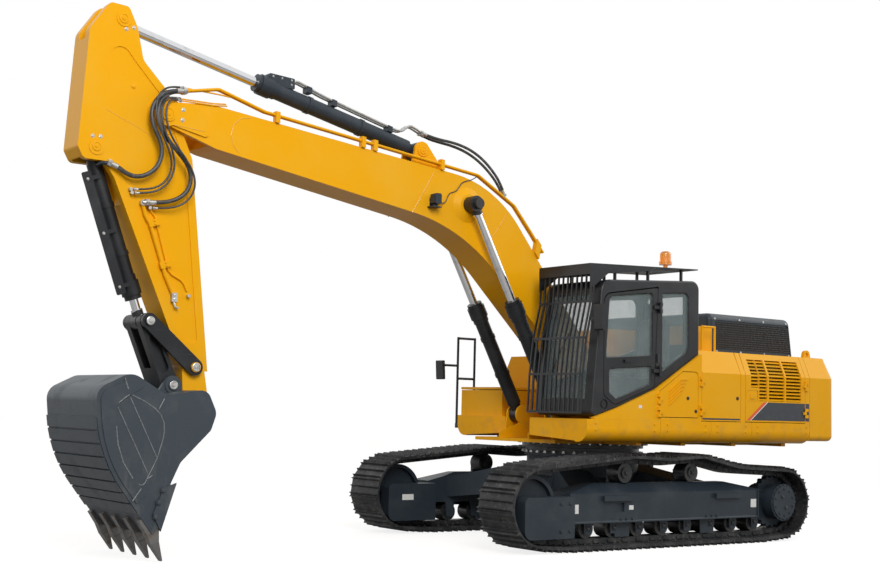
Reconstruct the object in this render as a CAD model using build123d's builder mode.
from build123d import *

import os
from math import acos, atan2, copysign, cos, hypot, pi, radians, sin

# A crawler excavator of the 33-tonne class, parked with its bucket just off the ground.
# Lengths are in millimetres. +X points forward, to the boom, +Y to the operator's left and +Z up.
# The origin is on the ground under the slew axis. A point of the side view is (x, z), as in
# BOOM_FOOT. Each piece is written to parts/ as a STEP file with the piece's own name.

os.makedirs("parts", exist_ok=True)

# Clearances: flat faces that pass each other, a pin in its bore, and a piece resting on its seat
SIDE_GAP = 8
PIN_GAP = 0.3
SEAT_GAP = 0.3
PANEL_GAP = 8

# Hinge barrels of the doors and lids
KNUCKLE_RADIUS = 12
KNUCKLE_LENGTH = 40
LEAF = 40

# Undercarriage
GAUGE = 2590
SHOE_WIDTH = 600
IDLER_RADIUS = 345
SPROCKET_RADIUS = 323
CARRIER_XS = (600, -500)
CARRIER_Z = 855
CARRIER_RADIUS = 114
ROLLER_COUNT = 9
ROLLER_SPAN = 3200
IDLER = (ROLLER_SPAN / 2 + 400, 500)
SPROCKET = (-ROLLER_SPAN / 2 - 422, 478)
ROLLER_RADIUS = 110
LINK_HEIGHT = 62
SHOE_THICKNESS = 35
GROUSER_HEIGHT = 30
SHOE_COUNT = 48
CHAIN_WIDTH = 190
ROLLER_WIDTH = 224
BEAM_WIDTH = 260
BEAM_LOW = 365
BEAM_HIGH = 740
BEAM_REAR = SPROCKET[0] + 337
BEAM_FRONT = IDLER[0] - 450
ROOF_RIDGE = 60
LIP = 12
STEP_BOX_OUT = 205
STEP_BOX = (BEAM_REAR + 108, BEAM_FRONT, 305, 635)
STEP_XS = (840, -1005)
STEP_LENGTH = 440
STEP_DEPTH = 45
GUIDE_XS = (670, -745)
GUIDE_LOW = 135
IDLER_COVER = (2262, BEAM_FRONT, 160, 612)
DRIVE_HUB_RADIUS = 230
SPROCKET_NOTCHES = 21
NOTCH_RADIUS = 34
CENTRE_RADIUS = 700
CENTRE_LOW = 560
CENTRE_HIGH = 1045
CENTRE_BOX = (640, 420)
LEG_HEIGHT = 300
TOW_HOLE_X = 740
TOW_HOLE_RADIUS = 32
TOW_EYE_RADIUS = 85
TOW_PLATE = 60

# Slew ring and upper frame
RING_RADIUS = 710
RING_TOP_RADIUS = 762
RING_HEIGHT = 60
RING_GAP = 5
RING_BORE = 420
RACE_RADIUS = 560
BASE_PLATE = 40
BASE_FRONT = 1130
BASE_HALF = 760
PLATE_INNER = 262
PLATE_THICKNESS = 25
EAR_PLATE = 20

# House
SIDE = 1495
PANEL = 60
HOUSE_TOP = 2330
BELT = 2060
TOP_EDGE = 1380
SKIRT_TOP = 1470
SKIRT_LOW = 1210
SKIRT_IN = 1300
SKIRT_WALL = 40
SKIRT_CURVE = 150
SKIRT_FRONT = 1302
SKIRT_RIGHT_FRONT = 860
SKIRT_SEAMS = (134, -730, -1468)
HOUSE_FRONT = -560
HOUSE_REAR = -2585
BASE_REAR = HOUSE_REAR - PANEL_GAP + SEAT_GAP
TAIL_RADIUS = 3430
WEIGHT_LOW = 1245
WEIGHT_CORNER = -3080
LIFTING_YS = (-1090, 1090)
HOOD_FRONT = -1250
HOOD_REAR = -2900
HOOD_HALF = 980
HOOD_TOP = 2850
HOOD_WALL = 40
HOOD_HINGE = (HOOD_REAR - 25, HOUSE_TOP + 22)
HOOD_HINGE_YS = (-700, 700)
RAIL_XS = (-1130, -900)
RAIL_Y = 1180
RAIL_HEIGHT = 330
RAIL_RADIUS = 14
AIR_BOX = ((330, 1040), (-1040, -330))

# Cab
CAB_INNER = 495
CAB_OUTER = 1450
CAB_WALL = 45
CAB_FLOOR = 1500
CAB_FRONT_LOW = 1197
CAB_FRONT_HIGH = 1048
CAB_ROOF_FRONT = 3070
CAB_ROOF_REAR = 3170
CAB_REAR = -560
DOOR_THICKNESS = 58
DOOR_HINGE = (138, 1482)
CAB_HINGE_ZS = (2050, 2800)
CAB_MOUNT_XS = (-380, 1000)
CAB_MOUNT_YS = (620, 1290)
CAB_MOUNT_RADIUS = 60
CAB_RADII = [60, 150, 110, 60]
CAB_EDGE = 24
PORT = (1005, 1640)
PORT_RADIUS = 58
GUARD_OUTER = 1391
GUARD_BAR = 18
ROOF_PLATE = 14
ROOF_FLANGE = 10
BEACON = (-430, 1000)
RAIL_POSTS = (560, 840)
RAIL_OUT = -1545
RAIL_FOOT = 1300
RAIL_TOP = 2500
RAIL_TUBE = 16
SWEEP = [(1190, 1495), (807, 1613), (198, 1840), (-560, 2285)]

# Boom, arm and bucket: pins in the side view, with widths over the plates
BOOM_FOOT = (100, 1970)
CYLINDER_FOOT = (755, 1500)
BOOM_ROD_PIN = (2109, 3939)
ARM_PIN = (5960, 4451)
ARM_CYLINDER_FOOT = (2700, 4530)
ARM_ROD_PIN = (6447, 5359)
BUCKET_CYLINDER_FOOT = (6670, 4026)
LINK_PIN = (6051, 2340)
GUIDE_PIN = (5535, 1897)
BUCKET_LINK_PIN = (5775, 1708)
BUCKET_PIN = (5468, 1352)
BOOM_HALF = 245
ARM_HALF = 190
EAR_THICKNESS = 45
BOOM_PIN_RADIUS = 60
ARM_PIN_RADIUS = 55
LINK_PIN_RADIUS = 50
CYLINDER_Y = 365
BOOM_BARREL_RADIUS = 85
BOOM_ROD_RADIUS = 50
ARM_BARREL_RADIUS = 90
ARM_ROD_RADIUS = 55
BUCKET_BARREL_RADIUS = 76
BUCKET_ROD_RADIUS = 45
EYE_WIDTH = 140
BUCKET_HALF = 650
ARM_TIP_RADIUS = 155
GUIDE_BOSS_RADIUS = 120
BUCKET_PLATE = 28
TOOTH_COUNT = 5
TOOTH_SPAN = 1190
TOOTH_WIDTH = 90


def ahead(start, end, distance):
    """The point of the side view a distance from start towards end."""
    length = hypot(end[0] - start[0], end[1] - start[1])
    share = distance / length
    return (start[0] + (end[0] - start[0]) * share, start[1] + (end[1] - start[1]) * share)


def side_plane(y_high):
    """A sketch plane that faces -Y at a distance from the centre plane."""
    return Plane.XZ.offset(-y_high)


def plate(outline, y_low, y_high, mode=Mode.ADD):
    """Adds a plate cut to an (x, z) outline, between two distances from the centre plane."""
    with BuildSketch(side_plane(y_high)) as shape:
        with BuildLine():
            Polyline(*outline, close=True)
        make_face()
    extrude(shape.sketch, amount=y_high - y_low, mode=mode)


def rounded(outline, radii, y_low, y_high, mode=Mode.ADD):
    """Adds a plate like plate(), with a radius at each corner of its outline."""
    with BuildSketch(side_plane(y_high)) as shape:
        with BuildLine():
            FilletPolyline(*outline, radius=radii, close=True)
        make_face()
    extrude(shape.sketch, amount=y_high - y_low, mode=mode)


def bar(centre, radius, y_low, y_high, mode=Mode.ADD):
    """Adds a round bar, boss or bore that crosses the machine at an (x, z) point."""
    with BuildSketch(side_plane(y_high)) as shape:
        with Locations(centre):
            Circle(radius)
    extrude(shape.sketch, amount=y_high - y_low, mode=mode)


def link(ends, radii, y_low, y_high, mode=Mode.ADD):
    """Adds a link plate whose two rounded ends are joined by straight tangents."""
    with BuildSketch(side_plane(y_high)) as shape:
        with BuildLine():
            for centre, radius in zip(ends, radii):
                CenterArc(centre, radius, 0, 360)
        make_hull()
    extrude(shape.sketch, amount=y_high - y_low, mode=mode)


def block(x, y, z, mode=Mode.ADD):
    """Adds a block between pairs of x, y and z values."""
    with BuildSketch(Plane.XY.offset(z[0])) as shape:
        with Locations(((x[0] + x[1]) / 2, (y[0] + y[1]) / 2)):
            Rectangle(x[1] - x[0], y[1] - y[0])
    extrude(shape.sketch, amount=z[1] - z[0], mode=mode)


def drum(centre, radius, z_low, z_high, mode=Mode.ADD):
    """Adds an upright cylinder at an (x, y) point."""
    with BuildSketch(Plane.XY.offset(z_low)) as shape:
        with Locations(centre):
            Circle(radius)
    extrude(shape.sketch, amount=z_high - z_low, mode=mode)


def round_run(start, end, y, radius, mode=Mode.ADD):
    """Adds a round bar between two points of the side view, all at one distance y."""
    run = (end[0] - start[0], end[1] - start[1])
    with BuildSketch(Plane(origin=(start[0], y, start[1]), z_dir=(run[0], 0, run[1]))) as shape:
        Circle(radius)
    extrude(shape.sketch, amount=hypot(*run), mode=mode)


def pipe(points, radius, bend):
    """Adds a round pipe along a route in space, with a bend of one radius at each corner."""
    with BuildLine() as route:
        FilletPolyline(*points, radius=bend)
    with BuildSketch(Plane(origin=route.line @ 0, z_dir=route.line % 0)) as section:
        Circle(radius)
    sweep(section.sketch, path=route.line)


def corners_of(table):
    """Splits a table of corners (x, z, radius) into the outline and its radii."""
    return [(x, z) for x, z, r in table], [r for x, z, r in table]


def save(name, part):
    """Labels a finished piece and writes it to its own file."""
    part.label = name
    export_step(part, f"parts/{name}.step")


def knuckles(axis, spans, reach_x, face_y):
    """Hinge barrels on an upright axis, each with a leaf that reaches over the panel's face."""
    x, y = axis
    outside = y + KNUCKLE_RADIUS if y > 0 else y - KNUCKLE_RADIUS
    for low, high in spans:
        drum(axis, KNUCKLE_RADIUS, low, high)
        block(sorted((x, reach_x)), sorted((face_y, outside)), (low, high))


def hinge_spans(height, moving):
    """Heights of one hinge's barrels: the middle one moves, the two outer ones stay."""
    half = KNUCKLE_LENGTH / 2
    if moving:
        return [(height - half, height + half)]
    near = half + PIN_GAP
    return [(height - near - KNUCKLE_LENGTH, height - near), (height + near, height + near + KNUCKLE_LENGTH)]


def belt_turns(wheels):
    """Where a belt meets each wheel (x, z, radius), and how far it turns there, as angles.

    The belt runs counter-clockwise. A wheel with a negative radius lies outside it.
    """
    count = len(wheels)
    normals = []
    for i in range(count):
        x1, z1, r1 = wheels[i]
        x2, z2, r2 = wheels[(i + 1) % count]
        length = hypot(x2 - x1, z2 - z1)
        normals.append(atan2(z2 - z1, x2 - x1) - acos((r1 - r2) / length))
    turns = []
    for i in range(count):
        first = normals[i - 1]
        turns.append((first, (normals[i] - first + pi / 2) % (2 * pi) - pi / 2))
    return turns


def belt(wheels, grow, steps=2):
    """The points where a belt meets each wheel, passes it in equal steps and leaves it.

    grow moves the belt outwards.
    """
    stops = []
    for (x, z, r), (first, turn) in zip(wheels, belt_turns(wheels)):
        angles = [first + turn * i / steps for i in range(steps + 1)]
        stops.append([(x + (r + grow) * cos(a), z + (r + grow) * sin(a)) for a in angles])
    return stops


def belt_walk(wheels, grow, count):
    """Points at equal steps round a belt."""
    path = [point for stop in belt(wheels, grow, 30) for point in stop]
    path.append(path[0])
    lengths = [hypot(end[0] - start[0], end[1] - start[1]) for start, end in zip(path, path[1:])]
    points = []
    walked = 0
    for start, end, length in zip(path, path[1:], lengths):
        while len(points) < count and len(points) * sum(lengths) / count < walked + length:
            points.append(ahead(start, end, len(points) * sum(lengths) / count - walked))
        walked += length
    return points


def belt_face(wheels, grow, y_high):
    """A sketch of the whole area inside a belt, on the plane at y_high."""
    stops = belt(wheels, grow)
    with BuildSketch(side_plane(y_high)) as shape:
        with BuildLine():
            for i, (meets, middle, leaves) in enumerate(stops):
                ThreePointArc(meets, middle, leaves)
                Line(leaves, stops[(i + 1) % len(stops)][0])
        make_face()
    return shape.sketch


# Undercarriage: wheels of one chain, in the order in which the belt meets them
ROLLER_Z = GROUSER_HEIGHT + SHOE_THICKNESS + LINK_HEIGHT + ROLLER_RADIUS
SAG_RADIUS = 1500
MIDDLE_SAG = (50, 940)
REAR_SAG = (-1350, 832)
CHAIN_WHEELS = [
    (-ROLLER_SPAN / 2, ROLLER_Z, ROLLER_RADIUS),
    (ROLLER_SPAN / 2, ROLLER_Z, ROLLER_RADIUS),
    (IDLER[0], IDLER[1], IDLER_RADIUS),
    (CARRIER_XS[0], CARRIER_Z, CARRIER_RADIUS),
    (MIDDLE_SAG[0], MIDDLE_SAG[1] + SAG_RADIUS, -SAG_RADIUS),
    (CARRIER_XS[1], CARRIER_Z, CARRIER_RADIUS),
    (REAR_SAG[0], REAR_SAG[1] + SAG_RADIUS, -SAG_RADIUS),
    (SPROCKET[0], SPROCKET[1], SPROCKET_RADIUS),
]
SHOE_LEVEL = LINK_HEIGHT
# A shoe's outer side: share of its length, height over the plate
SHOE_PROFILE = [
    (share, height)
    for bar_at in (0.04, 0.45, 0.86)
    for share, height in ((bar_at, 0), (bar_at + 0.05, GROUSER_HEIGHT), (bar_at + 0.1, 0))
]


def track(side):
    """One chain with its shoes, at the left (1) or right (-1). Each shoe is a flat plate with three bars."""
    middle = side * GAUGE / 2
    joints = belt_walk(CHAIN_WHEELS, SHOE_LEVEL + SHOE_THICKNESS, SHOE_COUNT)
    outline = []
    for start, end in zip(joints, joints[1:] + joints[:1]):
        across = ((end[0] - start[0]), (end[1] - start[1]))
        length = hypot(*across)
        for share, height in SHOE_PROFILE:
            x, z = ahead(start, end, share * length)
            outline.append((x + across[1] / length * height, z - across[0] / length * height))
    with BuildPart() as loop:
        plate(outline, middle - SHOE_WIDTH / 2, middle + SHOE_WIDTH / 2)
        extrude(belt_face(CHAIN_WHEELS, SHOE_LEVEL, middle + SHOE_WIDTH / 2), amount=SHOE_WIDTH, mode=Mode.SUBTRACT)
        extrude(belt_face(CHAIN_WHEELS, SHOE_LEVEL, middle + CHAIN_WIDTH / 2), amount=CHAIN_WIDTH)
        extrude(belt_face(CHAIN_WHEELS, 0, middle + CHAIN_WIDTH / 2), amount=CHAIN_WIDTH, mode=Mode.SUBTRACT)
    return loop.part


def track_rollers():
    """Bottom and carrier rollers of both chains, each with its own axle and two collars."""
    step = ROLLER_SPAN / (ROLLER_COUNT - 1)
    places = [(-ROLLER_SPAN / 2 + i * step, ROLLER_Z, ROLLER_RADIUS) for i in range(ROLLER_COUNT)]
    places += [(x, CARRIER_Z, CARRIER_RADIUS) for x in CARRIER_XS]
    with BuildPart() as rollers:
        for side in (1, -1):
            middle = side * GAUGE / 2
            for x, z, radius in places:
                half = ROLLER_WIDTH / 2
                bar((x, z), radius - SEAT_GAP, middle - CHAIN_WIDTH / 2, middle + CHAIN_WIDTH / 2)
                bar((x, z), radius * 0.55, middle - half, middle + half)
    return rollers.part


def roller_bracket(x):
    """The outline of a roller's bracket, which hangs from the beam."""
    half = ROLLER_RADIUS * 0.45
    low = ROLLER_Z - 60
    return [(x - half - 20, BEAM_LOW + 5), (x - half, low), (x + half, low), (x + half + 20, BEAM_LOW + 5)]


def side_frames():
    """The two long box beams that carry the rollers. Their roofs slope out to the step boxes."""
    rear, front, low, high = STEP_BOX
    half = BEAM_WIDTH / 2
    with BuildPart() as frames:
        for side in (1, -1):
            middle = side * GAUGE / 2
            outer = [(half - 5, low), (STEP_BOX_OUT, low), (STEP_BOX_OUT + LIP, low), (STEP_BOX_OUT + LIP, low + LIP)]
            outer += [(STEP_BOX_OUT, low + 2 * LIP), (STEP_BOX_OUT, high), (ROOF_RIDGE, BEAM_HIGH)]
            inner = [(-ROOF_RIDGE, BEAM_HIGH), (-half, BEAM_HIGH - 45), (-half, BEAM_LOW), (half - 5, BEAM_LOW)]
            with BuildSketch(Plane.YZ.offset(BEAM_REAR)) as section:
                with BuildLine():
                    Polyline(*[(middle + side * y, z) for y, z in outer + inner], close=True)
                make_face()
            extrude(section.sketch, amount=BEAM_FRONT - BEAM_REAR)
        slope = [(BEAM_FRONT, BEAM_HIGH - 105), (BEAM_FRONT - 450, BEAM_HIGH + 1), (BEAM_REAR + 585, BEAM_HIGH + 1)]
        ends = [(BEAM_REAR, BEAM_HIGH - 105), (BEAM_REAR, low - 1), (BEAM_FRONT, low - 1)]
        plate(slope + ends, -GAUGE, GAUGE, Mode.INTERSECT)
        for side in (1, -1):
            middle = side * GAUGE / 2
            face = sorted((middle + side * half, middle + side * (STEP_BOX_OUT + LIP + 5)))
            plate([(BEAM_REAR - 5, low - 10), (rear, low - 10), (rear, high), (BEAM_REAR - 5, high)], *face, Mode.SUBTRACT)
            reach = sorted((middle + side * (half - 5), middle + side * (STEP_BOX_OUT + LIP)))
            for x in (rear, front):
                block(sorted((x, x - copysign(LIP, x))), reach, (low - 8, high + 8))
            for x in STEP_XS:
                tread = sorted((middle + side * STEP_BOX_OUT, middle + side * (STEP_BOX_OUT + STEP_DEPTH)))
                block((x - STEP_LENGTH / 2, x + STEP_LENGTH / 2), tread, (high - 85, high - 25))
            hole = sorted((middle + side * (STEP_BOX_OUT - 25), middle + side * (STEP_BOX_OUT + 5)))
            block((710, 830), hole, (425, 525), Mode.SUBTRACT)
            side_gap = ROLLER_WIDTH / 2 + SEAT_GAP
            for x in CARRIER_XS:
                block((x - 60, x + 60), (middle - side_gap - 40, middle - side_gap), (700, CARRIER_Z + 30))
            for i in range(ROLLER_COUNT):
                x = -ROLLER_SPAN / 2 + i * ROLLER_SPAN / (ROLLER_COUNT - 1)
                for span in ((middle - half, middle - side_gap), (middle + side_gap, middle + half)):
                    plate(roller_bracket(x), *span)
            for x in GUIDE_XS:
                for span in ((middle - half, middle - side_gap), (middle + side_gap, middle + half)):
                    plate([(x - 140, BEAM_LOW + 5), (x - 110, GUIDE_LOW), (x + 110, GUIDE_LOW), (x + 140, BEAM_LOW + 5)], *span)
    return frames.part


def idlers():
    """The front wheels, each with a raised middle rib, in yokes under rounded covers."""
    front, rear, low, high = IDLER_COVER
    with BuildPart() as wheels:
        for side in (1, -1):
            middle = side * GAUGE / 2
            bar(IDLER, IDLER_RADIUS - SEAT_GAP, middle - 90, middle + 90)
            bar(IDLER, IDLER_RADIUS - 45, middle - 91, middle + 91, Mode.SUBTRACT)
            bar(IDLER, IDLER_RADIUS - 44, middle - 30, middle + 30)
            bar(IDLER, 110, middle - 190, middle + 190)
            yoke = BEAM_FRONT + SEAT_GAP
            for y_low, y_high in ((middle - 298, middle - 130), (middle + 130, middle + 298)):
                rounded([(yoke, low), (front, low), (front, high), (yoke, high)], [1, 95, 60, 1], y_low, y_high)
            block((yoke, yoke + 50), (middle - 190, middle + 190), (400, 600))
    return wheels.part


def final_drives():
    """The rear drive wheels, notched for the chain's bushes, with round bolted covers."""
    with BuildPart() as drives:
        for side in (1, -1):
            middle = side * GAUGE / 2
            bar(SPROCKET, SPROCKET_RADIUS - SEAT_GAP, middle - 40, middle + 40)
            with BuildSketch(side_plane(middle + 45)) as notches:
                with Locations(SPROCKET):
                    with PolarLocations(SPROCKET_RADIUS + 8, SPROCKET_NOTCHES):
                        Circle(NOTCH_RADIUS)
            extrude(notches.sketch, amount=90, mode=Mode.SUBTRACT)
            # reach from the wheel's middle, and radius
            for start, end, radius in ((0, 150, 205), (100, 222, DRIVE_HUB_RADIUS - 12), (222, 240, DRIVE_HUB_RADIUS)):
                bar(SPROCKET, radius, *sorted((middle + side * start, middle + side * end)))
            bar(SPROCKET, DRIVE_HUB_RADIUS - 25, *sorted((middle + side * 240, middle + side * 255)))
            inner = sorted((middle, middle - side * 220))
            bar(SPROCKET, DRIVE_HUB_RADIUS - 20, *inner)
            arm = sorted((middle - side * 220, middle - side * 60))
            block((SPROCKET[0] + DRIVE_HUB_RADIUS - 40, BEAM_REAR - SEAT_GAP), arm, (400, 620))
    return drives.part


def car_body():
    """The centre of the undercarriage: a drum on four box legs that taper out to the side beams."""
    reach = GAUGE / 2 - BEAM_WIDTH / 2
    # y, inner x, outer x, lowest and highest z of the leg's section there
    sections = [(180, 180, 660, CENTRE_LOW, CENTRE_LOW + 380), (reach, 760, 1250, 430, BEAM_HIGH - 60)]
    with BuildPart() as body:
        drum((0, 0), CENTRE_RADIUS, CENTRE_LOW + 200, CENTRE_HIGH - 40)
        drum((0, 0), RING_RADIUS + 25, CENTRE_HIGH - 45, CENTRE_HIGH)
        for side_x in (1, -1):
            for side_y in (1, -1):
                for y, near, far, low, high in sections:
                    with BuildSketch(side_plane(side_y * y)):
                        with Locations((side_x * (near + far) / 2, (low + high) / 2)):
                            Rectangle(far - near, high - low)
                loft()
        long, wide = CENTRE_BOX
        block((-long, long), (-wide, wide), (CENTRE_LOW, CENTRE_LOW + LEG_HEIGHT))
        for side in (1, -1):
            hole = (side * TOW_HOLE_X, 0)
            ends = sorted((side * (CENTRE_BOX[0] - 20), hole[0]))
            block(ends, (-TOW_EYE_RADIUS, TOW_EYE_RADIUS), (CENTRE_LOW, CENTRE_LOW + TOW_PLATE))
            drum(hole, TOW_EYE_RADIUS, CENTRE_LOW, CENTRE_LOW + TOW_PLATE)
            drum(hole, TOW_HOLE_RADIUS, CENTRE_LOW - 5, CENTRE_LOW + TOW_PLATE + 5, Mode.SUBTRACT)
    return body.part


RING_TOP_LOW = CENTRE_HIGH + RING_HEIGHT + RING_GAP
BASE_LOW = RING_TOP_LOW + RING_HEIGHT


def slew_ring_lower():
    with BuildPart() as ring:
        drum((0, 0), RING_RADIUS, CENTRE_HIGH, CENTRE_HIGH + RING_HEIGHT)
        drum((0, 0), RACE_RADIUS, CENTRE_HIGH, BASE_LOW - RING_GAP)
        drum((0, 0), RING_BORE, CENTRE_HIGH, BASE_LOW, Mode.SUBTRACT)
    return ring.part


def slew_ring_upper():
    with BuildPart() as ring:
        drum((0, 0), RING_TOP_RADIUS, RING_TOP_LOW, BASE_LOW)
        drum((0, 0), RACE_RADIUS + PIN_GAP, RING_TOP_LOW, BASE_LOW, Mode.SUBTRACT)
    return ring.part


def upper_frame():
    """Base plate, the two long upright plates that carry the boom, and the outriggers."""
    top = BASE_LOW + BASE_PLATE
    with BuildPart() as frame:
        block((BASE_REAR, BASE_FRONT), (-BASE_HALF, BASE_HALF), (BASE_LOW, top))
        foot_x, foot_z = BOOM_FOOT
        eye_x, eye_z = CYLINDER_FOOT
        outline = [(BASE_REAR, BASE_LOW), (BASE_FRONT, BASE_LOW), (BASE_FRONT, top + 70)]
        outline += [(eye_x + 80, eye_z - 115), (eye_x - 100, eye_z + 40), (480, 1600), (foot_x + 190, foot_z - 100)]
        outline += [(foot_x - 190, foot_z - 80), (-900, 1560), (-1300, 1380), (BASE_REAR, 1380)]
        for side in (1, -1):
            y_low, y_high = sorted((side * PLATE_INNER, side * (PLATE_INNER + PLATE_THICKNESS)))
            plate(outline, y_low, y_high)
            bar(BOOM_FOOT, 200, y_low, y_high)
            bar(CYLINDER_FOOT, 120, y_low, y_high)
            clear = CYLINDER_Y + EYE_WIDTH / 2 + SIDE_GAP
            ear = sorted((side * clear, side * (clear + EAR_PLATE)))
            foot = [(eye_x - 160, BASE_LOW), (eye_x + 160, BASE_LOW)]
            plate(foot + [(eye_x + 118, eye_z), (eye_x - 118, eye_z)], *ear)
            bar(CYLINDER_FOOT, 120, *ear)
            for x in (-2300, -1350, -450, 300):
                reach = sorted((side * PLATE_INNER, side * (SKIRT_IN - SEAT_GAP)))
                block((x - 40, x + 40), reach, (BASE_LOW, 1400))
        reach = PLATE_INNER + PLATE_THICKNESS + 25
        bar(BOOM_FOOT, BOOM_PIN_RADIUS, -reach, reach)
        reach = CYLINDER_Y + EYE_WIDTH / 2 + SIDE_GAP + EAR_PLATE + 8
        for side in (1, -1):
            bar(CYLINDER_FOOT, LINK_PIN_RADIUS, *sorted((side * PLATE_INNER, side * reach)))
    return frame.part


def skirt(side, front, rear):
    """The lower edge of the house along one side, which curves in below."""
    outer = [(SIDE, SKIRT_TOP - SEAT_GAP), (SIDE, SKIRT_LOW), (SKIRT_IN, SKIRT_LOW)]
    wall = SKIRT_WALL
    inner = [(SKIRT_IN, SKIRT_LOW + wall), (SIDE - wall, SKIRT_LOW + wall), (SIDE - wall, SKIRT_TOP - SEAT_GAP)]
    radii = [1, SKIRT_CURVE, 1, 1, SKIRT_CURVE - wall, 1]
    with BuildSketch(Plane.YZ.offset(rear)) as shape:
        with BuildLine():
            FilletPolyline(*[(side * y, z) for y, z in outer + inner], radius=radii, close=True)
        make_face()
    extrude(shape.sketch, amount=front - rear)


def skirts():
    """Pressed edges round the foot of the house, in sections, with the shelves that carry the cab."""
    shelf = (SKIRT_TOP - 40, SKIRT_TOP - SEAT_GAP)
    with BuildPart() as edges:
        skirt(1, SKIRT_FRONT, HOUSE_REAR)
        skirt(-1, SKIRT_RIGHT_FRONT, HOUSE_REAR)
        for side, front in ((1, SKIRT_FRONT), (-1, SKIRT_RIGHT_FRONT)):
            face = [(500, SKIRT_LOW + 55), (SIDE, SKIRT_LOW), (SIDE, shelf[1]), (500, shelf[1])]
            with BuildSketch(Plane.YZ.offset(front - SKIRT_WALL)) as shape:
                with BuildLine():
                    FilletPolyline(*[(side * y, z) for y, z in face], radius=[1, SKIRT_CURVE, 1, 1], close=True)
                make_face()
            extrude(shape.sketch, amount=SKIRT_WALL)
        block((300, SKIRT_FRONT - 30), (500, SIDE - 30), shelf)
        block((-1255, 830), (-SIDE + 30, -500), shelf)
        block((-1255, 310), (500, SIDE - 30), shelf)
        for x in CAB_MOUNT_XS:
            for y in CAB_MOUNT_YS:
                drum((x, y), CAB_MOUNT_RADIUS, SKIRT_TOP - 10, CAB_FLOOR - SEAT_GAP)
        for side in (1, -1):
            for x in SKIRT_SEAMS:
                low = sorted((side * (SKIRT_IN - 5), side * (SIDE + 5)))
                block((x - 3, x + 3), low, (SKIRT_LOW - 5, shelf[0] - 1), Mode.SUBTRACT)
                high = sorted((side * (SIDE - 10), side * (SIDE + 5)))
                block((x - 3, x + 3), high, (shelf[0] - 5, SKIRT_TOP), Mode.SUBTRACT)
    return edges.part


def counterweight():
    """The cast weight: its tail is an arc about the slew axis, its upper edge leans in, its lower is round."""
    front = HOUSE_REAR - PANEL_GAP
    with BuildPart() as weight:
        with BuildSketch(Plane.XY.offset(WEIGHT_LOW)) as plan:
            with BuildLine():
                Polyline((WEIGHT_CORNER, SIDE), (front, SIDE), (front, -SIDE), (WEIGHT_CORNER, -SIDE))
                ThreePointArc((WEIGHT_CORNER, -SIDE), (-TAIL_RADIUS, 0), (WEIGHT_CORNER, SIDE))
            make_face()
        extrude(plan.sketch, amount=HOUSE_TOP - WEIGHT_LOW)
        fillet(weight.edges().filter_by(Axis.Z).group_by(Axis.X)[0], 160)
        rim = weight.faces().sort_by(Axis.Z)[-1].edges().filter_by(lambda e: e.center().X < front - 1)
        chamfer(rim, length=HOUSE_TOP - BELT, length2=SIDE - TOP_EDGE)
        foot = weight.faces().sort_by(Axis.Z)[0].edges().filter_by(lambda e: e.center().X < front - 1)
        fillet(foot, 70)
        for y in HOOD_HINGE_YS:
            for near, far in hinge_spans(y, False):
                bar(HOOD_HINGE, KNUCKLE_RADIUS, near, far)
                block((HOOD_HINGE[0] - KNUCKLE_RADIUS, HOOD_HINGE[0]), (near, far), (HOUSE_TOP - 5, HOOD_HINGE[1]))
        for y in LIFTING_YS:
            eye = (front - 420, HOUSE_TOP)
            link([eye, (eye[0], eye[1] + 55)], [75, 60], y - 22, y + 22)
            bar((eye[0], eye[1] + 55), 30, y - 25, y + 25, Mode.SUBTRACT)
    return weight.part


def engine_block():
    with BuildPart() as engine:
        block((-2420, -1500), (-800, 700), (1420, 2180))
        for y in (-700, 600):
            block((-2200, -1700), (y - 60, y + 60), (BASE_LOW + BASE_PLATE, 1425))
    return engine.part


def house_wall(side, front, rear, low=SKIRT_TOP):
    """A stretch of side wall, upright to the belt line and leaning in above it."""
    y, inner = side * SIDE, side * (SIDE - PANEL)
    top, inner_top = side * TOP_EDGE, side * (TOP_EDGE - PANEL)
    profile = [(y, low), (y, BELT), (top, HOUSE_TOP), (inner_top, HOUSE_TOP), (inner, BELT - 20), (inner, low)]
    with BuildSketch(Plane.YZ.offset(rear)) as shape:
        with BuildLine():
            Polyline(*profile, close=True)
        make_face()
    extrude(shape.sketch, amount=front - rear)


# Doors in the house's side: x of the hinge axis, of the front edge and of the rear edge
PILLAR = (-1265, -1345)
REAR_PILLAR = -2500
FRONT_DOOR = (HOUSE_FRONT - PANEL_GAP / 2, HOUSE_FRONT - PANEL_GAP, PILLAR[0] + PANEL_GAP)
REAR_DOOR = (REAR_PILLAR + PANEL_GAP / 2, PILLAR[1] - PANEL_GAP, REAR_PILLAR + PANEL_GAP)
LOUVRE_OPENING = [(155, 1505), (155, 1815), (-235, 2062), (-505, 2062), (-505, 1505)]
LOUVRE_RADII = [1, 1, 40, 60, 15]
LOUVRE_START = 4
LOUVRE_KNEE = -194
LOUVRE_END = -330
LOUVRE_PITCH = 41
LOUVRE_HEIGHT = 10
# Columns of the radiator's grille: front and rear x, and lowest z
GRILLE = ((-1452, -1600, 1905), (-1606, -1760, 1740), (-1790, -2090, 1740), (-2120, -2420, 1740))
GRILLE_TOP = 2255
SLAT_PITCH = 42
SLAT_THICKNESS = 8
HINGE_Y = SIDE + KNUCKLE_RADIUS
SIDE_HINGE_ZS = (1600, 1950)
LOUVRE_HINGE_ZS = (1570, 1725)


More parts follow.
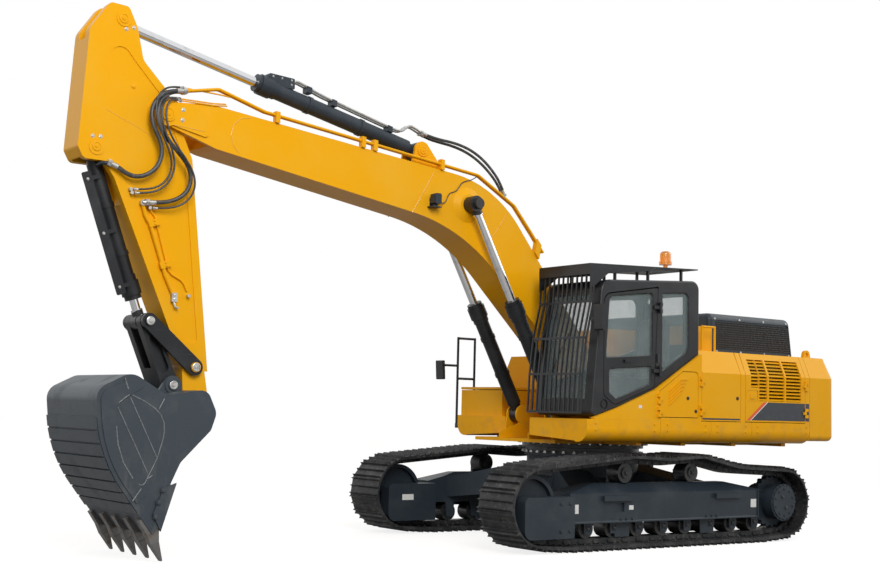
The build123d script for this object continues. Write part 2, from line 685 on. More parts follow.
def house_shell():
    """The fixed sheet metal: rear pillars, fire wall behind the cab, roof and the wall under the cab."""
    with BuildPart() as shell:
        for front, rear in (PILLAR, (REAR_PILLAR, HOUSE_REAR)):
            house_wall(1, front, rear)
            house_wall(-1, front, rear)
        inner_top = TOP_EDGE - PANEL - PANEL_GAP
        block((HOUSE_FRONT - 75, HOUSE_FRONT - 15), (500, inner_top), (SKIRT_TOP, HOUSE_TOP))
        block((HOUSE_REAR, HOUSE_FRONT - 15), (-inner_top, inner_top), (HOUSE_TOP - 50, HOUSE_TOP))
        for front, rear in (PILLAR, (REAR_PILLAR, HOUSE_REAR)):
            block((rear, front), (-TOP_EDGE + 30, TOP_EDGE - 30), (HOUSE_TOP - 50, HOUSE_TOP))
        block((-2450, -1450), (-850, 850), (HOUSE_TOP - 60, HOUSE_TOP + 10), Mode.SUBTRACT)
        low = [(x, z - PANEL_GAP) for x, z in SWEEP] + [(HOUSE_FRONT, SKIRT_TOP)]
        plate([(1185, SKIRT_TOP)] + low, SIDE - PANEL, SIDE)
        rounded(LOUVRE_OPENING, LOUVRE_RADII, SIDE - PANEL - 10, SIDE + 10, Mode.SUBTRACT)
        for z in LOUVRE_HINGE_ZS:
            axis_x = LOUVRE_OPENING[0][0] - PANEL_GAP / 2
            knuckles((axis_x, HINGE_Y), hinge_spans(z, False), axis_x + PANEL_GAP / 2 + LEAF, SIDE)
        for z in SIDE_HINGE_ZS:
            spans = hinge_spans(z, False)
            knuckles((FRONT_DOOR[0], HINGE_Y), spans, FRONT_DOOR[0] + LEAF, SIDE)
            for side in (1, -1):
                knuckles((REAR_DOOR[0], side * HINGE_Y), spans, REAR_DOOR[0] - LEAF, side * SIDE)
        for y in AIR_BOX:
            block((HOOD_FRONT + 2 * PANEL_GAP, HOUSE_FRONT - 290), y, (HOUSE_TOP - 5, HOUSE_TOP + 330))
        for x in RAIL_XS:
            round_run((x, HOUSE_TOP - 5), (x, HOUSE_TOP + RAIL_HEIGHT), RAIL_Y, RAIL_RADIUS)
        round_run((RAIL_XS[0] + RAIL_RADIUS, HOUSE_TOP + RAIL_HEIGHT - RAIL_RADIUS), (RAIL_XS[1] - RAIL_RADIUS, HOUSE_TOP + RAIL_HEIGHT - RAIL_RADIUS), RAIL_Y, RAIL_RADIUS)
    return shell.part


def tanks():
    """Fuel tank and hydraulic tank, side by side on the right."""
    with BuildPart() as pair:
        for front, rear in ((60, -600), (-620, -1255)):
            block((rear, front), (-SIDE, -560), (SKIRT_TOP, BELT))
            with BuildSketch(Plane.YZ.offset(rear)) as shape:
                with BuildLine():
                    top = HOUSE_TOP - 60
                    Polyline((-SIDE, BELT), (-560, BELT), (-560, top), (-TOP_EDGE, top), close=True)
                make_face()
            extrude(shape.sketch, amount=front - rear)
    return pair.part


def side_door(side, hinge_x, front, rear):
    """A door in the side of the house, with its free edge cut back to swing past the frame."""
    axis = (hinge_x, side * HINGE_Y)
    reach = max(abs(front - hinge_x), abs(rear - hinge_x))
    with BuildPart() as door:
        house_wall(side, front, rear, SKIRT_TOP + PANEL_GAP)
        drum(axis, reach, SKIRT_TOP, HOUSE_TOP + PANEL_GAP, Mode.INTERSECT)
        into = hinge_x + LEAF * (1 if front - hinge_x > hinge_x - rear else -1)
        for z in SIDE_HINGE_ZS:
            knuckles(axis, hinge_spans(z, True), into, side * SIDE)
    return door.part


def wall_y(z):
    """How far the face of the house's side lies from the centre plane at a height."""
    return SIDE if z < BELT else SIDE - (SIDE - TOP_EDGE) * (z - BELT) / (HOUSE_TOP - BELT)


def grilled_door(side):
    """The rear side door, with openings in columns and a louvre across each step of height."""
    with BuildPart() as door:
        add(side_door(side, *REAR_DOOR))
        for front, rear, low in GRILLE:
            block((rear, front), sorted((side * 1250, side * (SIDE + 5))), (low, GRILLE_TOP), Mode.SUBTRACT)
        for front, rear, low in GRILLE:
            count = int((GRILLE_TOP - low) / SLAT_PITCH)
            for i in range(count):
                z = low + (i + 0.5) * (GRILLE_TOP - low) / count
                outside = wall_y(z)
                slat = [(outside - 4, z - 16), (outside - 4, z - 16 + SLAT_THICKNESS)]
                slat += [(outside - PANEL + 8, z + 14 + SLAT_THICKNESS), (outside - PANEL + 8, z + 14)]
                with BuildSketch(Plane.YZ.offset(rear - 5)) as shape:
                    with BuildLine():
                        Polyline(*[(side * y, height) for y, height in slat], close=True)
                    make_face()
                extrude(shape.sketch, amount=front - rear + 10)
        latch = sorted((side * (SIDE - 14), side * (SIDE + 5)))
        rounded([(-1585, 1735), (-1375, 1735), (-1375, 1868), (-1585, 1868)], [12] * 4, *latch, Mode.SUBTRACT)
    return door.part


def side_door_front():
    return side_door(1, *FRONT_DOOR)


def side_door_rear():
    """The radiator's door: three columns of slanted louvres between its upright ribs."""
    return grilled_door(1)


def pump_door():
    """The right side's door over the pumps, with the same louvres."""
    return grilled_door(-1)


def offset_outline(outline, by):
    """An (x, z) outline whose straight edges are all moved outwards by one distance."""
    area = sum(x1 * z2 - x2 * z1 for (x1, z1), (x2, z2) in zip(outline, outline[1:] + outline[:1]))
    turn = 1 if area > 0 else -1
    moved = []
    for before, here, after in zip(outline[-1:] + outline[:-1], outline, outline[1:] + outline[:1]):
        normals = []
        for start, end in ((before, here), (here, after)):
            length = hypot(end[0] - start[0], end[1] - start[1])
            normals.append((turn * (end[1] - start[1]) / length, turn * (start[0] - end[0]) / length))
        (ax, az), (bx, bz) = normals
        share = by / (1 + ax * bx + az * bz)
        moved.append((here[0] + (ax + bx) * share, here[1] + (az + bz) * share))
    return moved


def louvre_door():
    """The small door under the cab, with five bent louvres pressed out of it."""
    rear, front = LOUVRE_OPENING[3][0], LOUVRE_OPENING[0][0]
    with BuildPart() as door:
        rounded(offset_outline(LOUVRE_OPENING, -PANEL_GAP), LOUVRE_RADII, SIDE - PANEL, SIDE)
        for drop in range(5):
            low = drop * LOUVRE_PITCH
            end = max(LOUVRE_END, LOUVRE_KNEE - 118 + drop * 25)
            ridge = [(LOUVRE_START, 1809 - low), (LOUVRE_KNEE, 1951 - low), (end, 1955 - low)]
            ridge += [(end, 1975 - low), (LOUVRE_KNEE - 6, 1971 - low), (LOUVRE_START, 1829 - low)]
            plate(ridge, SIDE - 5, SIDE + LOUVRE_HEIGHT)
        for z in LOUVRE_HINGE_ZS:
            axis = (front - PANEL_GAP / 2, HINGE_Y)
            knuckles(axis, hinge_spans(z, True), front - LEAF, SIDE)
    return door.part


def engine_hood():
    """The raised box over the engine, open below, with a framed mesh panel in each side."""
    low = HOUSE_TOP + PANEL_GAP
    with BuildPart() as hood:
        plate([(HOOD_REAR, low), (HOOD_FRONT, low), (HOOD_FRONT, HOOD_TOP), (HOOD_REAR + 80, HOOD_TOP)], -HOOD_HALF, HOOD_HALF)
        fillet(hood.edges().filter_by(Axis.X).group_by(Axis.Z)[-1], 90)
        fillet(hood.edges().filter_by(Axis.Y).group_by(Axis.Z)[-1], 60)
        inner = HOOD_HALF - HOOD_WALL
        span = (HOOD_REAR + 80 + HOOD_WALL, HOOD_FRONT - HOOD_WALL)
        block(span, (-inner, inner), (low - 5, HOOD_TOP - HOOD_WALL), Mode.SUBTRACT)
        for side in (1, -1):
            panel = sorted((side * (HOOD_HALF - 12), side * (HOOD_HALF + 5)))
            mesh = [(HOOD_REAR + 60, low + 45), (HOOD_FRONT - 110, low + 45), (HOOD_FRONT - 110, HOOD_TOP - 85), (HOOD_REAR + 105, HOOD_TOP - 85)]
            rounded(mesh, [15, 15, 45, 45], *panel, Mode.SUBTRACT)
        for y in HOOD_HINGE_YS:
            near, far = hinge_spans(y, True)[0]
            bar(HOOD_HINGE, KNUCKLE_RADIUS, near, far)
            block((HOOD_HINGE[0], HOOD_REAR + 25), (near, far), (HOOD_HINGE[1], HOOD_HINGE[1] + KNUCKLE_RADIUS))
    return hood.part


LID_HINGE = (130, 1808)
LID_HINGE_YS = (-1300, -790)


def toolbox():
    """The box in front of the fuel tank, with a lid on top and a tread in front."""
    with BuildPart() as box:
        block((150, 820), (-1470, -620), (SKIRT_TOP, 1800))
        block((190, 780), (-1430, -660), (SKIRT_TOP + 40, 1810), Mode.SUBTRACT)
        for y in LID_HINGE_YS:
            for low, high in hinge_spans(y, False):
                bar(LID_HINGE, KNUCKLE_RADIUS, low, high)
                block((LID_HINGE[0], 155), (low, high), (LID_HINGE[1] - KNUCKLE_RADIUS, LID_HINGE[1] - 2))
    return box.part


def toolbox_lid():
    with BuildPart() as lid:
        block((145, 825), (-1475, -615), (1808, 1838))
        for y in LID_HINGE_YS:
            low, high = hinge_spans(y, True)[0]
            bar(LID_HINGE, KNUCKLE_RADIUS, low, high)
            block((LID_HINGE[0], 150), (low, high), (LID_HINGE[1], LID_HINGE[1] + KNUCKLE_RADIUS))
    return lid.part


def cab_profile(shrink=0):
    """The side outline of the cab, moved in by shrink."""
    return [
        (CAB_FRONT_LOW - shrink, CAB_FLOOR + shrink),
        (CAB_FRONT_HIGH - shrink, CAB_ROOF_FRONT - shrink),
        (CAB_REAR + shrink, CAB_ROOF_REAR - shrink),
        (CAB_REAR + shrink, CAB_FLOOR + shrink),
    ]


DOOR_OUTLINE = [(152, 3027), (200, 3027), (1018, 2899), (1006, 1745), (835, 1640), (200, 1862)]
DOOR_RADII = [1, 1, 120, 50, 90, 50]
DOOR_OPENING = [(152, 3040), (1018, 2905), (1006, 1745), (835, 1640), (200, 1862)]
OPENING_RADII = [1, 120, 50, 90, 50]
SIDE_WINDOW = [(75, 2982), (-375, 3018), (-382, 2300), (75, 2035)]
SIDE_RADII = [15, 80, 170, 15]
RIGHT_WINDOW = [(900, 2860), (-420, 2980), (-420, 2350), (950, 1900)]


def cab_shell():
    """The hollow cab, with its windows and its door opening cut through."""
    door_plane = CAB_OUTER - DOOR_THICKNESS
    through = (door_plane - CAB_WALL - 5, CAB_OUTER + 5)
    with BuildPart() as shell:
        rounded(cab_profile(), CAB_RADII, CAB_INNER, CAB_OUTER)
        fillet(shell.edges().group_by(Axis.Y)[-1], CAB_EDGE)
        below = [(CAB_FRONT_LOW + 20, SKIRT_TOP), (CAB_FRONT_LOW + 20, 1495)] + SWEEP
        below += [(CAB_REAR - 40, 2300), (CAB_REAR - 40, SKIRT_TOP)]
        plate(below, door_plane - 5, CAB_OUTER + 5, Mode.SUBTRACT)
        inside = (CAB_INNER + CAB_WALL, door_plane - CAB_WALL)
        rounded(cab_profile(CAB_WALL), [40, 100, 100, 40], *inside, Mode.SUBTRACT)
        rounded(offset_outline(DOOR_OPENING, PANEL_GAP), OPENING_RADII, *through, Mode.SUBTRACT)
        rounded(SIDE_WINDOW, SIDE_RADII, *through, Mode.SUBTRACT)
        rounded(RIGHT_WINDOW, [90, 90, 60, 60], CAB_INNER - 5, CAB_INNER + CAB_WALL + 5, Mode.SUBTRACT)
        block((950, 1250), (CAB_INNER + 80, door_plane - 80), (1700, 2920), Mode.SUBTRACT)
        block((CAB_REAR - 10, CAB_REAR + 60), (CAB_INNER + 90, door_plane - 90), (2400, 2990), Mode.SUBTRACT)
        bar(PORT, PORT_RADIUS, CAB_OUTER - 12, CAB_OUTER + 5, Mode.SUBTRACT)
        bar(PORT, PORT_RADIUS - 22, CAB_OUTER - 15, CAB_OUTER - 2)
        for z in CAB_HINGE_ZS:
            for low, high in hinge_spans(z, False):
                drum(DOOR_HINGE, KNUCKLE_RADIUS, low, high)
                block((DOOR_HINGE[0] - LEAF, DOOR_HINGE[0]), (CAB_OUTER - 5, DOOR_HINGE[1]), (low, high))
    return shell.part


def cab_glass():
    """The fixed panes: side rear, right, front and back."""
    door_plane = CAB_OUTER - DOOR_THICKNESS
    with BuildPart() as panes:
        rounded(offset_outline(SIDE_WINDOW, -SEAT_GAP), SIDE_RADII, CAB_OUTER - 30, CAB_OUTER - 22)
        rounded(offset_outline(RIGHT_WINDOW, -SEAT_GAP), [90, 90, 60, 60], CAB_INNER + 18, CAB_INNER + 26)
        slope = (CAB_FRONT_HIGH - CAB_FRONT_LOW) / (CAB_ROOF_FRONT - CAB_FLOOR)
        z_low, z_high = 1700 + SEAT_GAP, 2920 - SEAT_GAP
        x_low = CAB_FRONT_LOW + slope * (z_low - CAB_FLOOR) - 25
        x_high = CAB_FRONT_LOW + slope * (z_high - CAB_FLOOR) - 25
        y_low = CAB_INNER + 80 + SEAT_GAP
        y_high = door_plane - 80 - SEAT_GAP
        plate([(x_low, z_low), (x_low + 8, z_low), (x_high + 8, z_high), (x_high, z_high)], y_low, y_high)
        block((CAB_REAR + 18, CAB_REAR + 26), (y_low + 10, y_high - 10), (2400 + SEAT_GAP, 2990 - SEAT_GAP))
    return panes.part


UPPER_WINDOW = [(232, 2975), (930, 2895), (985, 2170), (238, 2225)]
LOWER_WINDOW = [(250, 2110), (930, 2055), (925, 1775), (810, 1700), (250, 1890)]
DOOR_WINDOWS = ((UPPER_WINDOW, [40, 80, 25, 25]), (LOWER_WINDOW, [25, 35, 30, 50, 25]))
HANDLE = [(560, 2138), (700, 2128), (700, 2162), (560, 2172)]


def cab_door():
    with BuildPart() as door:
        rounded(DOOR_OUTLINE, DOOR_RADII, CAB_OUTER - DOOR_THICKNESS, CAB_OUTER)
        for outline, radii in DOOR_WINDOWS:
            rounded(outline, radii, CAB_OUTER - DOOR_THICKNESS - 5, CAB_OUTER + 5, Mode.SUBTRACT)
        for z in CAB_HINGE_ZS:
            span = hinge_spans(z, True)[0]
            drum(DOOR_HINGE, KNUCKLE_RADIUS, *span)
            block((DOOR_HINGE[0], 240), (CAB_OUTER + PANEL_GAP, DOOR_HINGE[1]), span)
            block((210, 240), (CAB_OUTER, CAB_OUTER + PANEL_GAP), span)
        rounded(HANDLE, [15] * 4, CAB_OUTER - 5, CAB_OUTER + 22)
    return door.part


def cab_door_glass():
    with BuildPart() as panes:
        for outline, radii in DOOR_WINDOWS:
            rounded(offset_outline(outline, -SEAT_GAP), radii, CAB_OUTER - 34, CAB_OUTER - 26)
    return panes.part


def cab_roof(x):
    """The height of the cab's roof at x."""
    rise = (CAB_ROOF_REAR - CAB_ROOF_FRONT) / (CAB_FRONT_HIGH - CAB_REAR)
    return CAB_ROOF_FRONT + (CAB_FRONT_HIGH - x) * rise


GUARD_ROOF = [(1190, CAB_ROOF_FRONT + 181), (-593, CAB_ROOF_REAR + 151)]


def guard_roof(x):
    """The height of the guard's roof plate, at its upper face."""
    (front, low), (rear, high) = GUARD_ROOF
    return low + (high - low) * (front - x) / (front - rear)


GUARD_POSTS = (-365, 200, 740)
GUARD_PATH = [(1167, 3215), (1185, 2800), (1284, 2378), (1330, 1964), (1352, 1525)]
GUARD_BARS = 12


def cab_guard():
    """The grille of upright bars before the cab, with its side wings, cross bars and roof plate."""
    depth = GUARD_BAR
    y_low, y_high = CAB_INNER, GUARD_OUTER
    back = [(x - depth, z) for x, z in reversed(GUARD_PATH)]
    top_z = GUARD_PATH[0][1]
    with BuildPart() as guard:
        pitch = (y_high - y_low - depth) / (GUARD_BARS - 1)
        for i in range(GUARD_BARS):
            y = y_low + i * pitch
            plate(GUARD_PATH + back, y, y + depth)
        for x, z in GUARD_PATH[1:]:
            block((x - depth, x), (y_low, y_high), (z, z + 26))
        # a wing on each side: its inner and outer y, and how far it reaches back at the top
        for y, reach in ((y_low, 60), (y_high - depth, 45)):
            bars = [(x - reach, z) for x, z in GUARD_PATH]
            plate(bars + [(x - depth, z) for x, z in reversed(bars)], y, y + depth)
            for x, z in GUARD_PATH[1:]:
                block((x - reach - depth, x), (y, y + depth), (z, z + 26))
        plate(GUARD_ROOF + [(x, z - ROOF_PLATE) for x, z in reversed(GUARD_ROOF)], y_low, y_high)
        for y in (y_low, y_high - ROOF_FLANGE):
            under = [(x, guard_roof(x) - 5) for x in (GUARD_ROOF[0][0], 150)]
            plate(under + [(250, guard_roof(250) - 55), (GUARD_PATH[0][0] - 260, 3150), (GUARD_PATH[0][0] - 60, 3000), (GUARD_PATH[1][0], 2960)], y, y + ROOF_FLANGE)
        block((GUARD_ROOF[0][0] - 30, GUARD_ROOF[0][0]), (y_low, y_high), (top_z - 90, top_z + 25))
        for x in GUARD_POSTS:
            feet = [(end, cab_roof(end) + SEAT_GAP) for end in (x - 14, x + 14)]
            for y in (y_low + 60, y_high - 80):
                plate(feet + [(x + 14, guard_roof(x) - 5), (x - 14, guard_roof(x) - 5)], y, y + 28)
    return guard.part


def seat():
    with BuildPart() as chair:
        rounded([(-250, 1960), (290, 1960), (290, 2080), (-250, 2080)], [30, 50, 40, 30], 710, 1230)
        rounded([(-250, 2050), (-210, 2080), (-230, 2720), (-330, 2700)], [20, 20, 40, 40], 720, 1220)
        rounded([(-300, 2690), (-215, 2700), (-225, 2900), (-290, 2890)], [10, 10, 35, 35], 830, 1110)
    return chair.part


def cab_controls():
    """Seat stand, two side consoles with levers, and the two travel pedals with levers."""
    floor = CAB_FLOOR + CAB_WALL
    with BuildPart() as controls:
        block((-200, 220), (760, 1180), (floor + SEAT_GAP, 1959.7))
        for y in (650, 1290):
            block((-250, 300), (y - 50, y + 50), (1965, 2160))
            block((-100, 100), (y - 40, y + 40), (floor + SEAT_GAP, 1970))
            drum((240, y), 18, 2150, 2330)
        for y in (880, 1000):
            block((760, 900), (y - 40, y + 40), (floor + SEAT_GAP, floor + 40))
            drum((740, y), 12, floor + SEAT_GAP, 2120)
    return controls.part


def beacon():
    """An amber dome on a short stem that stands on the guard's roof."""
    x, y = BEACON
    low, top = guard_roof(x) + 20, CAB_ROOF_REAR + 390
    with BuildPart() as lamp:
        feet = [(end, guard_roof(end) + SEAT_GAP) for end in (x - 50, x + 50)]
        plate(feet + [(x + 50, low), (x - 50, low)], y - 50, y + 50)
        drum(BEACON, 28, low - 5, low + 60)
        drum(BEACON, 80, low + 55, low + 95)
        drum(BEACON, 70, low + 90, top)
        fillet(lamp.faces().sort_by(Axis.Z)[-1].edges(), 45)
    return lamp.part


def mirrors_and_rails():
    """Both mirrors on their arms, and the handrails beside the right-hand tread."""
    with BuildPart() as set_of:
        rounded([(1160, 2470), (1215, 2470), (1235, 2770), (1180, 2770)], [20] * 4, 1500, 1640)
        block((1180, 1200), (1391.3, 1510), (2600, 2625))
        block((1125, 1200), (1391.3, 1411), (2600, 2625))
        for x in RAIL_POSTS:
            round_run((x, RAIL_FOOT), (x, RAIL_TOP), RAIL_OUT, RAIL_TUBE)
            block((x - 25, x + 25), (RAIL_OUT, -SIDE - SEAT_GAP), (RAIL_FOOT, RAIL_FOOT + 60))
        for z in (RAIL_TOP - RAIL_TUBE, 1950):
            round_run((RAIL_POSTS[0], z), (RAIL_POSTS[1], z), RAIL_OUT, RAIL_TUBE)
        round_run((RAIL_POSTS[1], 2120), (1100, 2120), RAIL_OUT, RAIL_TUBE)
        rounded([(1085, 1930), (1125, 1930), (1140, 2180), (1100, 2180)], [15] * 4, RAIL_OUT - 90, RAIL_OUT + 60)
    return set_of.part


# Boom: outline corners with their radii, foot first and then along the top
BOOM_NOSE_RADIUS = 125
BOOM_OUTLINE = [
    (-54, 2097, 1),
    (1698, 4227, 1500),
    (5450, 4620, 300),
    (5970, 4576, 1),
    (5930, 4330, 1),
    (5400, 4165, 300),
    (2170, 3663, 2300),
    (238, 1825, 1),
]
SLOT_RADIUS = 540
CHEEK = 18
NOSE_CHEEK = [(5965, 4560), (5640, 4590), (5500, 4480), (5500, 4260), (5925, 4345)]
NOSE_RADII = [40, 60, 60, 40, 40]


def boom():
    """The bent box beam: two side plates under narrow top lips, with its bosses, pins and ears."""
    with BuildPart() as beam:
        corners = [(x, z) for x, z, r in BOOM_OUTLINE]
        rounded(corners, [r for x, z, r in BOOM_OUTLINE], -BOOM_HALF, BOOM_HALF)
        bar(BOOM_FOOT, 200, -BOOM_HALF - 5, BOOM_HALF + 5)
        bar(ARM_PIN, BOOM_NOSE_RADIUS, -BOOM_HALF, BOOM_HALF)
        bar(ARM_PIN, SLOT_RADIUS, -ARM_HALF - SIDE_GAP, ARM_HALF + SIDE_GAP, Mode.SUBTRACT)
        bar(BOOM_FOOT, BOOM_PIN_RADIUS + PIN_GAP, -BOOM_HALF - 10, BOOM_HALF + 10, Mode.SUBTRACT)
        boss = CYLINDER_Y - EYE_WIDTH / 2 - SIDE_GAP
        for side in (1, -1):
            cheek = sorted((side * (BOOM_HALF - 5), side * (BOOM_HALF + CHEEK)))
            rounded(NOSE_CHEEK, NOSE_RADII, *cheek)
            bar(ARM_PIN, 125, *cheek)
            bar(ARM_PIN, 78, *sorted((side * BOOM_HALF, side * (BOOM_HALF + CHEEK + 14))))
            # the boss of the cylinders' pin: a cone between the side plate and the eye
            with BuildSketch(side_plane(side * BOOM_HALF)):
                with Locations(BOOM_ROD_PIN):
                    Circle(210)
            with BuildSketch(side_plane(side * boss)):
                with Locations(BOOM_ROD_PIN):
                    Circle(125)
            loft()
        bar(ARM_PIN, ARM_PIN_RADIUS, -BOOM_HALF - CHEEK, BOOM_HALF + CHEEK)
        foot_x, foot_z = ARM_CYLINDER_FOOT
        for side in (1, -1):
            ear = sorted((side * 100, side * 135))
            plate([(foot_x - 60, foot_z + 90), (foot_x - 420, 4200), (foot_x + 180, 4200), (foot_x + 100, foot_z)], *ear)
            bar(ARM_CYLINDER_FOOT, 105, *ear)
            bar(ARM_CYLINDER_FOOT, 72, *sorted((side * 130, side * 150)))
        bar(ARM_CYLINDER_FOOT, LINK_PIN_RADIUS, -155, 155)
    return beam.part


def boom_top(x):
    """The height of the straight stretch of the boom's top."""
    (x1, z1, r1), (x2, z2, r2) = BOOM_OUTLINE[1:3]
    return z1 + (z2 - z1) * (x - x1) / (x2 - x1)


# Oil lines: distance from the centre plane, route in the side view, clamps (x, height over the top)
PIPE_YS = (214, 254)
PIPE_RADIUS = 15
PIPE_BEND = 110
PIPE_ROUTE = [(5790, 4712), (5400, 4795), (4850, 4640), (1960, 4315), (1400, 4010), (1120, 3700), (930, 3480)]
PIPE_CLAMPS = ((4700, 120), (3600, 120), (3440, 120), (2500, 120))
CLAMP_SPAN = (206, 278)
CREST_BRACKET = [(1010, 3392), (1075, 3471), (1040, 3640), (975, 3565)]


def boom_pipes():
    """The steel oil lines along the boom's top: over its crest, along it and down on to its nose."""
    with BuildPart() as pipes:
        for y in PIPE_YS:
            pipe([(x, y, z) for x, z in PIPE_ROUTE], PIPE_RADIUS, PIPE_BEND)
        for x, lift in PIPE_CLAMPS:
            ends = [(x - 25, boom_top(x - 25)), (x + 25, boom_top(x + 25))]
            feet = [(end, z + SEAT_GAP) for end, z in ends]
            plate(feet + [(end, z + lift) for end, z in reversed(ends)], *CLAMP_SPAN)
        plate(CREST_BRACKET, *CLAMP_SPAN)
    return pipes.part


def work_lamp():
    """A square lamp on a bent bracket on the boom's left side."""
    with BuildPart() as lamp:
        block((2560, 2660), (BOOM_HALF + SEAT_GAP, BOOM_HALF + 12), (3850, 3960))
        block((2560, 2690), (BOOM_HALF + SEAT_GAP, BOOM_HALF + 110), (3850, 3862))
        block((2600, 2650), (BOOM_HALF + 60, BOOM_HALF + 80), (3855, 3900))
        rounded([(2575, 3888), (2665, 3888), (2665, 4010), (2575, 4010)], [22] * 4, BOOM_HALF + 25, BOOM_HALF + 125)
        block((2660, 2672), (BOOM_HALF + 35, BOOM_HALF + 115), (3898, 4000))
    return lamp.part


def cylinder_barrel(foot, eye, gland, radius, y):
    """A barrel from the eye at its foot to the gland ring, which is a distance from the foot."""
    neck = min(radius, EYE_WIDTH / 2 - 5)
    round_run(ahead(foot, eye, 60), ahead(foot, eye, 160), y, neck)
    round_run(ahead(foot, eye, 150), ahead(foot, eye, gland - 40), y, radius)
    # from and to, short of the gland's face, and how much wider than the barrel
    for start, end, wider in ((250, 190, 10), (190, 45, 24), (45, 0, 8)):
        round_run(ahead(foot, eye, gland - start), ahead(foot, eye, gland - end), y, radius + wider)
    for share in (0.36, 0.68):
        round_run(ahead(foot, eye, gland * share), ahead(foot, eye, gland * share + 45), y, radius + 9)
    bar(foot, radius + 15, y - EYE_WIDTH / 2, y + EYE_WIDTH / 2)


def bore_run(foot, eye, gland, radius, y):
    """The hollow that the rod slides in, with the bore of the foot."""
    round_run(ahead(foot, eye, 220), ahead(foot, eye, gland + 5), y, radius + PIN_GAP, Mode.SUBTRACT)
    bar(foot, LINK_PIN_RADIUS + PIN_GAP, y - EYE_WIDTH, y + EYE_WIDTH, Mode.SUBTRACT)


BOOM_GLAND = 1540
ARM_GLAND = 2200
BUCKET_GLAND = 1560


def boom_cylinder_barrels():
    with BuildPart() as barrels:
        for y in (CYLINDER_Y, -CYLINDER_Y):
            cylinder_barrel(CYLINDER_FOOT, BOOM_ROD_PIN, BOOM_GLAND, BOOM_BARREL_RADIUS, y)
            bore_run(CYLINDER_FOOT, BOOM_ROD_PIN, BOOM_GLAND, BOOM_ROD_RADIUS, y)
    return barrels.part


def rod(foot, eye, gland, stroke, radius, y, eye_radius):
    """A rod from inside its barrel to the eye at its end."""
    round_run(ahead(foot, eye, gland - stroke), ahead(eye, foot, 40), y, radius)
    round_run(ahead(eye, foot, eye_radius + 45), ahead(eye, foot, 50), y, min(radius + 14, EYE_WIDTH / 2))
    bar(eye, eye_radius, y - EYE_WIDTH / 2, y + EYE_WIDTH / 2)


def boom_cylinder_rods():
    with BuildPart() as rods:
        for side in (1, -1):
            rod(CYLINDER_FOOT, BOOM_ROD_PIN, BOOM_GLAND, 560, BOOM_ROD_RADIUS, side * CYLINDER_Y, 95)
            cap = sorted((side * (CYLINDER_Y + EYE_WIDTH / 2), side * (CYLINDER_Y + EYE_WIDTH / 2 + 60)))
            bar(BOOM_ROD_PIN, 62, *cap)
    return rods.part


def arm_cylinder_barrel():
    with BuildPart() as barrel:
        cylinder_barrel(ARM_CYLINDER_FOOT, ARM_ROD_PIN, ARM_GLAND, ARM_BARREL_RADIUS, 0)
        bore_run(ARM_CYLINDER_FOOT, ARM_ROD_PIN, ARM_GLAND, ARM_ROD_RADIUS, 0)
    return barrel.part


def arm_cylinder_rod():
    with BuildPart() as piece:
        rod(ARM_CYLINDER_FOOT, ARM_ROD_PIN, ARM_GLAND, 380, ARM_ROD_RADIUS, 0, 110)
    return piece.part


def bucket_cylinder_barrel():
    with BuildPart() as barrel:
        cylinder_barrel(BUCKET_CYLINDER_FOOT, LINK_PIN, BUCKET_GLAND, BUCKET_BARREL_RADIUS, 0)
        bore_run(BUCKET_CYLINDER_FOOT, LINK_PIN, BUCKET_GLAND, BUCKET_ROD_RADIUS, 0)
    return barrel.part


def bucket_cylinder_rod():
    with BuildPart() as piece:
        rod(BUCKET_CYLINDER_FOOT, LINK_PIN, BUCKET_GLAND, 1250, BUCKET_ROD_RADIUS, 0, 85)
    return piece.part


# Arm: outline corners with their radii, from the rod pin down the back and up the front
ARM_OUTLINE = [
    (6400, 5490, 60),
    (6300, 5290, 60),
    (6223, 4970, 150),
    (5950, 4700, 120),
    (5640, 4030, 120),
    (5372, 1860, 1),
    (5630, 1860, 1),
    (6475, 3740, 40),
    (6590, 3895, 30),
    (6800, 3895, 60),
    (6865, 4010, 60),
    (6800, 5200, 150),
    (6600, 5500, 60),
]


ARM_RECESS = 10
ARM_PANEL = [
    (6560, 5240),
    (6310, 4950),
    (6020, 4650),
    (5720, 3990),
    (5500, 2150),
    (5650, 2150),
    (6380, 3760),
    (6600, 4350),
]
ARM_PANEL_RADII = [110, 150, 100, 60, 40, 40, 120, 150]


